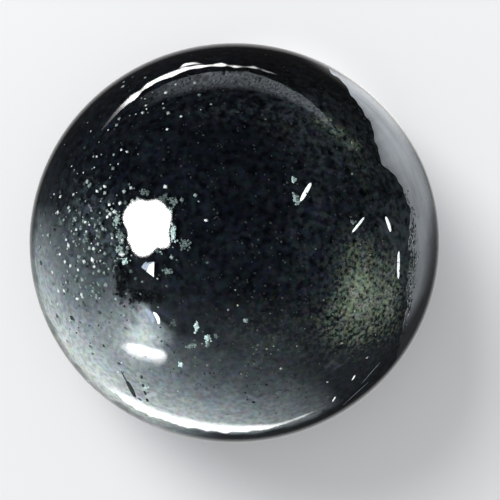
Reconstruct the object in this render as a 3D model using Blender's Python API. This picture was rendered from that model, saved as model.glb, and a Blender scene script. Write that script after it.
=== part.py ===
"""A round, high-domed cabochon of black scapolite, polished all over and ground flat underneath.

The stone is one crystal, cut as a lapidary cuts it: a dome over a widest line called the girdle, a
rounded back under it, and a flat base that the stone rests on. Metres, +Z up through the dome, with
the origin at the middle of the flat base.
"""

import math

import bmesh
import bpy

# Driving dimensions
GIRDLE_LENGTH = 0.00800  # across the girdle, along X
GIRDLE_WIDTH = 0.00780  # across the girdle, along Y: a hand-cut stone is a little off round
DOME_HEIGHT = 0.00380  # girdle to the top of the dome
BACK_HEIGHT = 0.00170  # flat base to the girdle
BACK_FULL_DEPTH = 0.00250  # depth that the rounded back would have if it weren't ground flat
BASE_BEVEL = 0.00012  # the ground edge of the base, taken off so that it doesn't chip

# How finely the round faces are divided
SIDES = 88
DOME_RINGS = 22
BACK_RINGS = 9
BEVEL_SEGMENTS = 2
WELD = 1e-7

# Finish
STONE_COLOUR = (0.012, 0.015, 0.020, 1.0)  # blue-black
STONE_ROUGHNESS = 0.04  # a high polish


def clear_scene():
    """Removes every object that is already in the scene."""
    for old in list(bpy.data.objects):
        bpy.data.objects.remove(old, do_unlink=True)


def stone_material():
    """Polished blue-black stone."""
    material = bpy.data.materials.new("black_scapolite")
    material.use_nodes = True
    shader = material.node_tree.nodes["Principled BSDF"]
    shader.inputs["Base Color"].default_value = STONE_COLOUR
    shader.inputs["Roughness"].default_value = STONE_ROUGHNESS
    shader.inputs["Metallic"].default_value = 0.0
    return material


def half_section():
    """Radius and height of the section's points, from the top of the dome down to the middle of the base.

    The dome and the back are quarter ellipses that share the girdle, and the base cuts the back's short.
    """
    reach = GIRDLE_LENGTH / 2
    cut = math.asin(BACK_HEIGHT / BACK_FULL_DEPTH)
    points = []
    for ring in range(DOME_RINGS + 1):
        turn = math.pi / 2 * (1 - ring / DOME_RINGS)
        points.append((reach * math.cos(turn), BACK_HEIGHT + DOME_HEIGHT * math.sin(turn)))
    for ring in range(1, BACK_RINGS + 1):
        turn = cut * ring / BACK_RINGS
        points.append((reach * math.cos(turn), BACK_HEIGHT - BACK_FULL_DEPTH * math.sin(turn)))
    points.append((0.0, 0.0))
    return points


def base_edges(bm):
    """The edges where the rounded back meets the flat base."""
    rim = GIRDLE_LENGTH / 2 * math.cos(math.asin(BACK_HEIGHT / BACK_FULL_DEPTH))
    on_rim = [
        v for v in bm.verts
        if abs(v.co.z) < WELD and abs(math.hypot(v.co.x, v.co.y) - rim) < WELD
    ]
    chosen = set(on_rim)
    return [e for e in bm.edges if e.verts[0] in chosen and e.verts[1] in chosen]


def cabochon():
    """The whole stone: its half section spun about Z, its base edge bevelled, then pressed to its oval girdle."""
    bm = bmesh.new()
    section = [bm.verts.new((max(radius, 0.0), 0.0, height)) for radius, height in half_section()]
    for upper, lower in zip(section, section[1:]):
        bm.edges.new((upper, lower))
    bmesh.ops.spin(
        bm,
        geom=bm.verts[:] + bm.edges[:],
        cent=(0, 0, 0),
        axis=(0, 0, 1),
        angle=2 * math.pi,
        steps=SIDES,
        use_merge=True,
    )
    bmesh.ops.remove_doubles(bm, verts=bm.verts, dist=WELD)
    bmesh.ops.dissolve_degenerate(bm, edges=bm.edges, dist=WELD)
    bmesh.ops.bevel(
        bm,
        geom=base_edges(bm),
        offset=BASE_BEVEL,
        segments=BEVEL_SEGMENTS,
        profile=0.5,
        affect="EDGES",
    )
    bmesh.ops.scale(bm, vec=(1.0, GIRDLE_WIDTH / GIRDLE_LENGTH, 1.0), verts=bm.verts)
    bmesh.ops.recalc_face_normals(bm, faces=bm.faces)
    mesh = bpy.data.meshes.new("cabochon")
    bm.to_mesh(mesh)
    bm.free()
    mesh.shade_smooth()
    mesh.set_sharp_from_angle(angle=math.radians(30))
    stone = bpy.data.objects.new("cabochon", mesh)
    bpy.context.scene.collection.objects.link(stone)
    stone.data.materials.append(stone_material())
    return stone


clear_scene()
cabochon()
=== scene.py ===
"""A round polished scapolite cabochon, lying on its flat base on a pale table, seen from above.

The stone is one crystal. Its polished skin is clear, most of its inside is a blue-black heart full of
fine dust, one edge is left clear, and the opposite edge is milky, with painted light where it brightens
towards the rim. Metres, +Z up, in the frame's place.
"""

import bpy
import numpy as np
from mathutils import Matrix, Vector


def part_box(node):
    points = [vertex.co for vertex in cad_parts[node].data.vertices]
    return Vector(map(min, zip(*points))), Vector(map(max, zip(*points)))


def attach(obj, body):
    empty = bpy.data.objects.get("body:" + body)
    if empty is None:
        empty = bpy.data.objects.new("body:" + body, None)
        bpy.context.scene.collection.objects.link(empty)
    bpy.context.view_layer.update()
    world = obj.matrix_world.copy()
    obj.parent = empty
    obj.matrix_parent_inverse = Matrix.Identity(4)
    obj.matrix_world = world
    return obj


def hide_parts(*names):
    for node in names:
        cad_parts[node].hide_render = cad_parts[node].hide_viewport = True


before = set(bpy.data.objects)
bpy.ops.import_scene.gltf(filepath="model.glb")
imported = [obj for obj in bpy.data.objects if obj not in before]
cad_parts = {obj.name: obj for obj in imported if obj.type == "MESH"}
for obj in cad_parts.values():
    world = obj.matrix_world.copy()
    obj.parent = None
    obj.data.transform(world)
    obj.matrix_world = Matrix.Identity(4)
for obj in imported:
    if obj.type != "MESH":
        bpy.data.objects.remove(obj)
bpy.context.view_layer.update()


# ---------------------------------------------------------------------------------------------------
# The camera. It hangs straight above the dome with a long lens, as for a close-up of a loose stone,
# with the stone a little left of the middle and a little above it.
# ---------------------------------------------------------------------------------------------------

MM = 0.001
GIRDLE = 1.7 * MM  # height of the stone's widest line
FIELD = 9.756 * MM  # width of the view at the girdle
LENS = 900.0
SENSOR = 36.0
VIEW_CENTRE = (0.302 * MM, -0.137 * MM)


def in_scene(name, data):
    """A new object in the scene, for a mesh, a lamp or the camera."""
    piece = bpy.data.objects.new(name, data)
    bpy.context.scene.collection.objects.link(piece)
    return piece


camera = in_scene("camera", bpy.data.cameras.new("camera"))
camera.data.lens = LENS
camera.data.sensor_width = SENSOR
camera.data.clip_start = 1 * MM
camera.data.clip_end = 10.0
camera.location = (*VIEW_CENTRE, GIRDLE + FIELD * LENS / SENSOR)
bpy.context.scene.camera = camera


# ---------------------------------------------------------------------------------------------------
# The polished skin. Clear scapolite, ground to a dome over a rounded back, and polished on felt until
# it mirrors. The base is ground flat and its edge is broken, so that it doesn't chip.
# ---------------------------------------------------------------------------------------------------

low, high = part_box("cabochon")
REACH_X = (high[0] - low[0]) / 2
REACH_Y = (high[1] - low[1]) / 2
DOME = high[2] - GIRDLE
BACK_FULL_DEPTH = 2.5 * MM  # depth of the rounded back before its base was ground flat
BASE_BEVEL = 0.12 * MM
BASE_MIDDLE = 0.2 * MM  # radius of the innermost ring of points on the base
SKIN_AROUND = 320  # points in each ring of the skin
DOME_STEPS = 72
BACK_STEPS = 34
BEVEL_STEPS = 7
BASE_STEPS = 10
SHARP_ANGLE = 25  # degrees between faces past which an edge stays sharp
INDEX = 1.55  # scapolite's refractive index
CLEAR = (0.92, 0.93, 0.94, 1)  # share of the lamps' light that the skin lets straight in
SMOKY = (0.42, 0.47, 0.52, 1)  # tone that the crystal has where it is thick
SMOKE_DENSITY = 200.0
stone_pieces = []  # what the lamps on the stone light


def new_piece(name, points, faces):
    """A piece with a mesh of its own, from points and the faces between them."""
    mesh = bpy.data.meshes.new(name)
    mesh.from_pydata(np.reshape(points, (-1, 3)).tolist(), [], faces)
    return in_scene(name, mesh)


def ring_quads(rings, around, first):
    """Four-sided faces that join each ring of points to the next. The points are numbered on from first."""
    ring = first + np.arange(rings - 1)[:, None] * around
    here = ring + np.arange(around)
    beside = ring + (np.arange(around) + 1) % around
    return np.stack([here, here + around, beside + around, beside], -1).reshape(-1, 4)


def closed_faces(rings, around):
    """Faces of a closed shape: between its rings, and in a fan of triangles to a point at each end.

    The upper end is point 0, the rings' points follow, upper ring first, and the lower end comes last.
    """
    here = np.arange(around)
    beside = (here + 1) % around
    last = 1 + (rings - 1) * around
    upper_fan = np.stack([0 * here, 1 + here, 1 + beside], -1)
    lower_fan = np.stack([0 * here + last + around, last + beside, last + here], -1)
    return ring_quads(rings, around, 1), np.concatenate([upper_fan, lower_fan])


def closed_rings(name, rings, top, bottom):
    """A closed, smoothly shaded piece from rings of points and a point at each end.

    rings is indexed by ring, place round the ring and xyz, and runs counter-clockwise seen from above.
    """
    points = np.concatenate([top[None], rings.reshape(-1, 3), bottom[None]])
    quads, fans = closed_faces(*rings.shape[:2])
    piece = new_piece(name, points, quads.tolist() + fans.tolist())
    piece.data.shade_smooth()
    return piece


def skin_section():
    """Radius and height down the stone's side, as if it were round, from the top to near the base's middle.

    Quarter of an ellipse for the dome, part of a flatter one for the back, a short curve that eases from
    the back's slope to the level base, and the base.
    """
    dome = np.linspace(np.pi / 2, 0, DOME_STEPS)[1:]
    cut = np.arcsin(GIRDLE / BACK_FULL_DEPTH)
    rim = REACH_X * np.cos(cut)
    back = np.linspace(0, cut, BACK_STEPS)[1:]
    back_radius = REACH_X * np.cos(back)
    back_height = GIRDLE - BACK_FULL_DEPTH * np.sin(back)
    kept = back_height > BASE_BEVEL * 0.8
    ease = np.linspace(0, 1, BEVEL_STEPS)
    start = np.array([back_radius[kept][-1], back_height[kept][-1]])
    corner = np.array([rim, 0.0])
    end = np.array([rim - BASE_BEVEL, 0.0])
    bevel = ((1 - ease) ** 2)[:, None] * start + (2 * ease * (1 - ease))[:, None] * corner
    bevel += (ease ** 2)[:, None] * end
    base = np.linspace(rim - BASE_BEVEL, BASE_MIDDLE, BASE_STEPS)[1:]
    radius = np.concatenate([REACH_X * np.cos(dome), back_radius[kept][:-1], bevel[:, 0], base])
    height = np.concatenate([GIRDLE + DOME * np.sin(dome), back_height[kept][:-1], bevel[:, 1], 0 * base])
    return radius, height


def new_material(name):
    """An empty material with its tree, its Principled shader and its output."""
    material = bpy.data.materials.new(name)
    material.use_nodes = True
    tree = material.node_tree
    return material, tree, tree.nodes["Principled BSDF"], tree.nodes["Material Output"]


def feed(tree, node, **inputs):
    """Feeds a node's inputs, each with a value or another node's output. i0 is its first input."""
    for key, value in inputs.items():
        socket = node.inputs[int(key[1:]) if key[1:].isdigit() else key.replace("_", " ")]
        if isinstance(value, bpy.types.NodeSocket):
            tree.links.new(value, socket)
        else:
            socket.default_value = value
    return node


def add(tree, kind, settings=None, **inputs):
    """Adds a node. Settings are the node's own properties, such as its operation."""
    node = tree.nodes.new("ShaderNode" + kind)
    for key, value in (settings or {}).items():
        setattr(node, key, value)
    return feed(tree, node, **inputs)


def noise(tree, place, scale, detail, roughness=0.5):
    """A noise node, whose Fac and Color outputs are used."""
    return add(tree, "TexNoise", Vector=place, Scale=scale, Detail=detail, Roughness=roughness).outputs


def remap(tree, value, start, end, low=0.0, high=1.0):
    """A value whose run from start to end becomes a run from low to high, past which it doesn't go."""
    node = add(tree, "MapRange", Value=value, From_Min=start, From_Max=end, To_Min=low, To_Max=high)
    return node.outputs["Result"]


def clear_crystal():
    """Clear scapolite: plain glass of its index, faintly smoky, with the slight unevenness of hand polish.

    Light on its way to what is inside goes straight in, so that the heart is lit through the skin.
    """
    material, tree, shader, output = new_material("clear_scapolite")
    place = add(tree, "TexCoord").outputs["Object"]
    smears = noise(tree, place, scale=900.0, detail=4.0)["Fac"]
    polish = remap(tree, smears, 0.45, 0.75, 0.0, 0.012)
    waves = noise(tree, place, scale=700.0, detail=2.0)["Fac"]
    bump = add(tree, "Bump", Height=waves, Strength=0.02, Distance=0.02 * MM).outputs["Normal"]
    feed(tree, shader, Base_Color=(1, 1, 1, 1), IOR=INDEX, Transmission_Weight=1.0)
    feed(tree, shader, Roughness=polish, Normal=bump)
    straight = add(tree, "BsdfTransparent", Color=CLEAR).outputs["BSDF"]
    shadow_ray = add(tree, "LightPath").outputs["Is Shadow Ray"]
    crystal = add(tree, "MixShader", i0=shadow_ray, i1=shader.outputs["BSDF"], i2=straight)
    smoke_and_shade = add(tree, "VolumeAbsorption", Color=SMOKY, Density=SMOKE_DENSITY)
    feed(tree, output, Surface=crystal.outputs["Shader"], Volume=smoke_and_shade.outputs["Volume"])
    return material


def polished_stone():
    """The skin: its section turned about the axis and pressed to the girdle's slight oval."""
    radius, height = skin_section()
    turn = np.linspace(0, 2 * np.pi, SKIN_AROUND, endpoint=False)
    rings = np.empty((len(radius), SKIN_AROUND, 3))
    rings[..., 0] = radius[:, None] * np.cos(turn)
    rings[..., 1] = radius[:, None] * np.sin(turn) * REACH_Y / REACH_X
    rings[..., 2] = height[:, None]
    skin = closed_rings("polished_stone", rings, np.array([0, 0, GIRDLE + DOME]), np.zeros(3))
    skin.data.set_sharp_from_angle(angle=np.radians(SHARP_ANGLE))
    skin.data.materials.append(clear_crystal())
    return skin


stone = polished_stone()
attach(stone, "root")
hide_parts("cabochon")
stone_pieces.append(stone)


# ---------------------------------------------------------------------------------------------------
# The dark heart. Most of the crystal is packed with dust-fine dark inclusions, blue-black and faintly
# mottled. It stops short at a ragged wall on the right, where the crystal stayed clear, and it lies
# deeper and turns milky towards the lower left, where its colour brightens towards the rim with painted
# light. It also holds painted glows round two mirror images and a painted dark shade along the lower
# rim. An olive patch sits in it on the right.
# ---------------------------------------------------------------------------------------------------

DUST = ((0.0010, 0.0014, 0.0026), (0.0120, 0.0165, 0.0225))  # colours of the dark, between grains and in them
MILK_AND_GLOW = ((0.775, 0.915, 0.985), (0.936, 1.0, 0.953))  # of the milk, where it is thin and where it is full; the full one is partly painted light
SPECK = (0.120, 0.153, 0.170)  # of the faint specks
OLIVE = (0.49, 0.61, 0.455)  # and of the olive strands
HEART_AROUND = 384  # points in each ring of the heart
FACE_STEPS = 150
FLANK_STEPS = 46
UNDER_STEPS = 14
HEART_DEPTH = 0.20 * MM  # how far under the skin, along a line of sight from above, its dark part starts
SUNKEN = (226, 0.42 * MM)  # the side on which it starts deeper, in degrees, and by how much at most
HEART_FOOT = 0.45 * MM  # height of its flat underside
FOOT_REACH = 2.45 * MM  # how far out that underside goes
BACK_BULGE = 0.24 * MM  # how far its lower flank bows out towards the rounded back
EDGE = (  # direction in degrees, and how far out the heart reaches there as a share of the girdle
    (-42, 0.994), (-37, 0.965), (-28, 0.922), (-20, 0.890), (-12, 0.860), (-1, 0.838), (6, 0.856),
    (12, 0.868), (17, 0.866), (22, 0.854), (25, 0.829), (27.5, 0.806), (31, 0.818), (37, 0.852),
    (43.5, 0.896), (48, 0.918), (56, 0.949), (61, 0.967), (66, 0.984), (71, 0.994), (108, 0.990),
    (125, 0.972), (170, 0.968), (205, 0.975), (240, 0.975), (252, 0.990), (300, 0.994),
)
MILK_GLOW_SIDE = (  # how strong the milky rim is in each direction, in degrees; its brightening to the edge is partly painted light
    (152, 0.0), (168, 0.01), (179, 0.16), (190, 0.32), (210, 0.55), (225, 0.72), (240, 0.82), (256, 0.84),
    (267, 0.75), (286, 0.43), (304, 0.0),
)
MILK_GLOW_STRENGTH = 0.90
MILK_GLOW_REACH = 0.115  # share of the girdle's radius over which the milk and its painted light fall to about a third, going inwards
MILK_GLOW_LINE = 0.90  # where it has its full strength
MILK_GLOW_END = 0.97  # the milk and its painted light never hide the dark altogether
RIM_SHADE_SHARES = (0.930, 0.960)  # the painted dark rim shade outside the milk sets in between these shares of the way out,
RIM_SHADE_SIDE = (237, 268)  # and between these directions, in degrees
# Soft ovals, in mm as seen from above: middle, size and, where it has one, strength.
CLOUD = ((-1.95, -1.65), (0.95, 0.80), 0.20)
HAZE = 0.022  # strength of the faint milk in the whole lower half
PAINTED_HALOS = (  # painted glows round the mirror images of the left bar lamp and of the curved glint
    ((-1.75, -1.86), (0.38, 0.36), 0.56), ((-1.72, -1.30), (0.24, 0.26), 0.16),
)
DARK_BAY = ((-1.00, -1.82), (0.34, 0.36), 0.55)  # where the dark reaches into the cloud
DARK_CLOTS = (((-2.18, -0.70), (0.100, 0.35)), ((-1.74, -1.02), (0.23, 0.115)))
OLIVE_PATCHES = (
    ((2.46, -0.96), (0.42, 0.58), 0.95), ((2.20, -1.58), (0.56, 0.46), 0.36),
    ((2.40, -0.10), (0.45, 0.42), 0.20), ((3.00, -0.95), (0.25, 0.68), 0.46),
    ((1.72, 2.36), (0.16, 0.10), 0.60), ((2.00, 2.14), (0.16, 0.10), 0.66),
    ((2.28, 1.90), (0.17, 0.11), 0.66), ((1.20, 2.20), (0.90, 0.35), 0.07),
    ((2.50, 1.50), (0.30, 0.36), 0.15), ((0.70, -1.90), (1.30, 0.90), 0.08),
)
LEFT_FIELD = ((-2.82, -0.08), (0.66, 1.05))  # the field of grains on the left
SPECKED = (  # where the right part is faintly specked
    ((3.42, -0.20), (0.14, 0.75), 0.55), ((3.08, 0.15), (0.40, 0.95), 0.55),
    ((2.20, 2.10), (0.80, 0.60), 0.22), ((0.30, 2.62), (1.50, 0.36), 0.17),
    ((1.42, 2.58), (0.50, 0.26), 0.30), ((1.15, -2.00), (1.10, 0.60), 0.17),
    ((1.89, -2.36), (0.15, 0.10), 0.50),
)
HEART_CENTRE = np.array([0.2, 0.9]) * MM  # of the round edge that the dark has against the cloud
HEART_RADIUS = 2.93 * MM
HEART_SOFTNESS = (0.16 * MM, 0.75 * MM)  # of that edge, at the left and further right


def dome_height(x, y):
    """Height of the dome above a place: the girdle's height plus the ellipsoid's."""
    inside = np.clip(1 - (x / REACH_X) ** 2 - (y / REACH_Y) ** 2, 0, 1)
    return GIRDLE + DOME * np.sqrt(inside)


def dome_normal(x, y):
    """Outward direction of the dome there: the ellipsoid's slope along each axis, made one long."""
    normal = np.stack([x / REACH_X**2, y / REACH_Y**2, (dome_height(x, y) - GIRDLE) / DOME**2], -1)
    return normal / np.linalg.norm(normal, axis=-1, keepdims=True)


def bent_sight(x, y):
    """Direction in which a line of sight from straight above goes on inside the stone, by Snell's law."""
    normal = dome_normal(x, y)
    facing = normal[..., 2]
    inner = np.sqrt(1 - (1 - facing**2) / INDEX**2)
    down = np.zeros_like(normal)
    down[..., 2] = -1 / INDEX
    return down + (facing / INDEX - inner)[..., None] * normal


def seen_point(x, y, depth):
    """The point that is seen at x, y from above and lies depth down the bent line of sight."""
    x, y, depth = np.broadcast_arrays(*(np.asarray(value, float) for value in (x, y, depth)))
    surface = np.stack([x, y, dome_height(x, y)], -1)
    return surface + depth[..., None] * bent_sight(x, y)


def rise(value, start, end):
    """0 on the start's side, 1 past the end, and an S between. The end may be the lower one."""
    part = np.clip((value - start) / (end - start), 0, 1)
    return part * part * (3 - 2 * part)


def seen_place(share, turn):
    """The place seen in a direction, at a share of the way out to the girdle."""
    return share * REACH_X * np.cos(turn), share * REACH_Y * np.sin(turn)


def blob(x, y, centre, size, strength=1.0):
    """A soft oval, given in mm: its strength in its middle, falling off as a bell curve along each axis."""
    centre = np.array(centre) * MM
    size = np.array(size) * MM
    return strength * np.exp(-(((x - centre[0]) / size[0]) ** 2) - ((y - centre[1]) / size[1]) ** 2)


def heart_edge(turn):
    """How far out the heart reaches in each direction, as a share of the girdle, with small waves on it."""
    edge = np.interp(np.degrees(turn), *np.array(EDGE).T, period=360)
    ragged = np.zeros_like(turn)
    for waves, phase, size in ((11, 0.4, 0.005), (23, 2.1, 0.004), (47, 4.0, 0.003), (91, 1.3, 0.0025)):
        ragged = ragged + size * np.cos(waves * turn + phase)
    return np.clip(edge + ragged, 0, 0.994)


def waver(x, y):
    """A slow uneven ripple between about -1 and 1, from crossing waves 0.5 to 1.5 mm long."""
    first = np.cos(x * 5200 + 2.1) * np.cos(y * 4300) + 0.6 * np.cos(x * 9100 - y * 7700)
    return 0.6 * (first + 0.5 * np.cos(x * 3100 + y * 12400 + 0.7))


def outward(x, y):
    """Direction in degrees, from 0 to 360, and share of the way to the girdle."""
    turn = np.degrees(np.arctan2(y / REACH_Y, x / REACH_X)) % 360
    return turn, np.hypot(x / REACH_X, y / REACH_Y)


def between_clots(x, y):
    """1 away from the dark clots and near 0 in them, with a ragged edge."""
    dark = sum(blob(x, y, *clot) for clot in DARK_CLOTS)
    return 1 - 0.96 * rise(dark + 0.20 * waver(4 * x, 4 * y), 0.30, 0.50)


def milk_and_painted_light(x, y):
    """How milky the stone is where it is seen at x, y.

    A rim that fades inwards exponentially, over part of the way round, whose brightening towards the edge is
    partly painted light, with a painted dark rim shade at the bottom, then a cloud with a ragged round inner
    edge, a faint haze below, and painted glows round the left bar lamp's mirror image and the curved glint.
    A dark bay and the dark clots cut into them.
    """
    turn, reach = outward(x, y)
    side = np.interp(turn, *np.array(MILK_GLOW_SIDE).T)
    # The rim brightens towards the edge partly with painted light.
    fall = np.exp((np.minimum(reach, 0.97) - MILK_GLOW_LINE) / MILK_GLOW_REACH)
    rim = np.clip(MILK_GLOW_STRENGTH * side * fall, 0, MILK_GLOW_END)
    # Painted dark rim shade along the lower rim.
    ragged = reach + 0.006 * waver(1.3 * x, 1.9 * y)
    rim = rim * (1 - 0.97 * rise(ragged, *RIM_SHADE_SHARES) * rise(turn, *RIM_SHADE_SIDE))
    away = np.hypot(x - HEART_CENTRE[0], y - HEART_CENTRE[1]) - HEART_RADIUS + 0.12 * MM * waver(x, y)
    sharp, soft = HEART_SOFTNESS
    softness = sharp + (soft - sharp) * rise(x, -1.4 * MM, -0.4 * MM)
    outside = rise(away, -softness / 2, softness / 2)
    cloud = outside * blob(x, y, *CLOUD)
    haze = HAZE * rise(y / REACH_Y, -0.25, -0.60) * rise(reach, 0.98, 0.88)
    # Painted glows round the left bar lamp's mirror image and the curved glint.
    painted_halo = sum(blob(x, y, *oval) for oval in PAINTED_HALOS) * (0.2 + 0.8 * outside)
    milk_and_glow = 1 - (1 - rim) * (1 - cloud) * (1 - haze) * (1 - painted_halo)
    return np.clip(milk_and_glow * (1 - blob(x, y, *DARK_BAY)) * between_clots(x, y), 0, MILK_GLOW_END)


def oliveness(x, y):
    """How olive the stone is where it is seen at x, y: a few soft ovals together."""
    clear = np.ones_like(x)
    for patch in OLIVE_PATCHES:
        clear = clear * (1 - blob(x, y, *patch))
    return 1 - clear


def heart_depth(x, y):
    """How far down the line of sight the heart starts: deeper on the milky side, and slightly uneven."""
    turn, reach = outward(x, y)
    sunken = np.clip(np.cos(np.radians(turn - SUNKEN[0])), 0, 1) ** 1.5 * rise(reach, 0.25, 0.75)
    relief = (0.012 + 0.02 * sunken) * MM * waver(x, y) * rise(reach, 0.97, 0.72)
    return HEART_DEPTH + SUNKEN[1] * sunken + relief


def set_attribute(piece, name, values):
    """Stores one number for each point of a piece."""
    piece.data.attributes.new(name, "FLOAT", "POINT").data.foreach_set("value", values.astype(np.float32))


def arithmetic(tree, operation, *values):
    """The result of an operation on values or outputs, such as MULTIPLY."""
    node = add(tree, "Math", {"operation": operation})
    return feed(tree, node, **{f"i{place}": value for place, value in enumerate(values)}).outputs[0]


def between(tree, amount, first, second):
    """A value between two, by an amount from 0 to 1."""
    return add(tree, "Mix", {"data_type": "FLOAT"}, i0=amount, i2=first, i3=second).outputs[0]


def attribute(tree, name):
    """The value that a piece's attribute has at each point."""
    return add(tree, "Attribute", {"attribute_name": name}).outputs["Fac"]


def new_group(name, inputs):
    """An empty node group with value inputs, a place and a mask. Gives the group, its inputs and its mask."""
    group = bpy.data.node_groups.new(name, "ShaderNodeTree")
    group.interface.new_socket("Place", in_out="INPUT", socket_type="NodeSocketVector")
    for title, start in inputs:
        group.interface.new_socket(title, in_out="INPUT", socket_type="NodeSocketFloat").default_value = start
    group.interface.new_socket("Mask", in_out="OUTPUT", socket_type="NodeSocketFloat")
    given = group.nodes.new("NodeGroupInput")
    result = group.nodes.new("NodeGroupOutput")
    return group, given.outputs, result.inputs["Mask"]


def mottle_group():
    """Node group: the uneven grain of dusty crystal, as a mask from 0 to 1 with broad clouds in it."""
    group, given, mask = new_group("mottle", (("Grain", 6500.0), ("Clouds", 1600.0), ("Cloudiness", 0.5)))
    fine = noise(group, given["Place"], given["Grain"], detail=1.5, roughness=0.55)["Fac"]
    broad = noise(group, given["Place"], given["Clouds"], detail=2.0)["Fac"]
    dust = remap(group, fine, 0.32, 0.70)
    cloud = remap(group, broad, 0.3, 0.7)
    even = between(group, given["Cloudiness"], 1.0, cloud)
    group.links.new(arithmetic(group, "MULTIPLY", dust, even), mask)
    return group


def net_group():
    """Node group: a net of grains that closes up as Amount goes from 0 to 1, as a mask.

    Noise lifted by the amount and cut off, so that little of it shows at first and small holes stay at last.
    """
    group, given, mask = new_group("net", (("Grain", 8000.0), ("Amount", 0.5)))
    grains = noise(group, given["Place"], given["Grain"], detail=2.0, roughness=0.6)["Fac"]
    lifted = arithmetic(group, "MULTIPLY_ADD", given["Amount"], 0.26, grains)
    cut = remap(group, lifted, 0.49, 0.84)
    present = remap(group, given["Amount"], 0.02, 0.30)
    group.links.new(arithmetic(group, "MULTIPLY", cut, present), mask)
    return group


MOTTLE = mottle_group()
NET = net_group()


def masked(tree, group, place, **values):
    """Places one of the groups in a material and gives its mask. A value may be a number or an output."""
    return add(tree, "Group", {"node_tree": group}, Place=place, **values).outputs["Mask"]


def blend_of(tree, amount, first, second):
    """A colour between two, by an amount from 0 to 1. Each may be a colour or an output."""
    node = add(tree, "Mix", {"data_type": "RGBA"}, i0=amount)
    first, second = (end if isinstance(end, bpy.types.NodeSocket) else (*end, 1) for end in (first, second))
    return feed(tree, node, i6=first, i7=second).outputs[2]


def tinged(tree, colour, tint, strength):
    """A colour whose hue shifts from place to place: times 1, less the strength, plus 2 strengths of tint."""
    factor = add(tree, "VectorMath", {"operation": "MULTIPLY_ADD"}, i0=tint, i1=(2 * strength,) * 3,
                 i2=(1 - strength,) * 3)
    return add(tree, "VectorMath", {"operation": "MULTIPLY"}, i0=colour, i1=factor.outputs[0]).outputs[0]


def heart_material():
    """Blue-black with mottling, then milky with painted light and shade in the milk, specked and olive where
    the piece's attributes say so.
    """
    material, tree, shader, _ = new_material("dusty_heart")
    place = add(tree, "TexCoord").outputs["Object"]
    milk_and_glow, olive, haze, speck = (attribute(tree, name) for name in ("milk_and_glow", "olive", "haze", "speck"))
    tint = noise(tree, place, scale=6500.0, detail=2.0)["Color"]

    dust = masked(tree, MOTTLE, place, Grain=6800.0, Cloudiness=0.55)
    dust_amount = arithmetic(tree, "MULTIPLY", dust, haze)
    colour = blend_of(tree, dust_amount, DUST[0], tinged(tree, DUST[1], tint, 0.7))

    curds = masked(tree, MOTTLE, place, Grain=10500.0, Clouds=2600.0, Cloudiness=0.25)
    # Milk, partly painted light where it brightens towards the rim, and with painted glows and shade in it.
    milk_and_glow_amount = arithmetic(tree, "MULTIPLY", milk_and_glow, remap(tree, curds, 0.0, 0.8, 0.72, 1.15))
    colour = blend_of(tree, milk_and_glow_amount, colour, tinged(tree, blend_of(tree, milk_and_glow, *MILK_AND_GLOW), tint, 0.22))

    specks = masked(tree, NET, place, Grain=7000.0, Amount=speck)
    speck_amount = arithmetic(tree, "MULTIPLY", specks, 0.60)
    colour = blend_of(tree, speck_amount, colour, tinged(tree, SPECK, tint, 0.4))

    strands = masked(tree, NET, place, Grain=13000.0, Amount=olive)
    strand_amount = arithmetic(tree, "MULTIPLY", strands, remap(tree, olive, 0.0, 1.0, 0.35, 1.0))
    colour = blend_of(tree, strand_amount, colour, tinged(tree, OLIVE, tint, 0.38))

    feed(tree, shader, Base_Color=colour, Roughness=0.9, Specular_IOR_Level=0.0)
    return material


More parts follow.
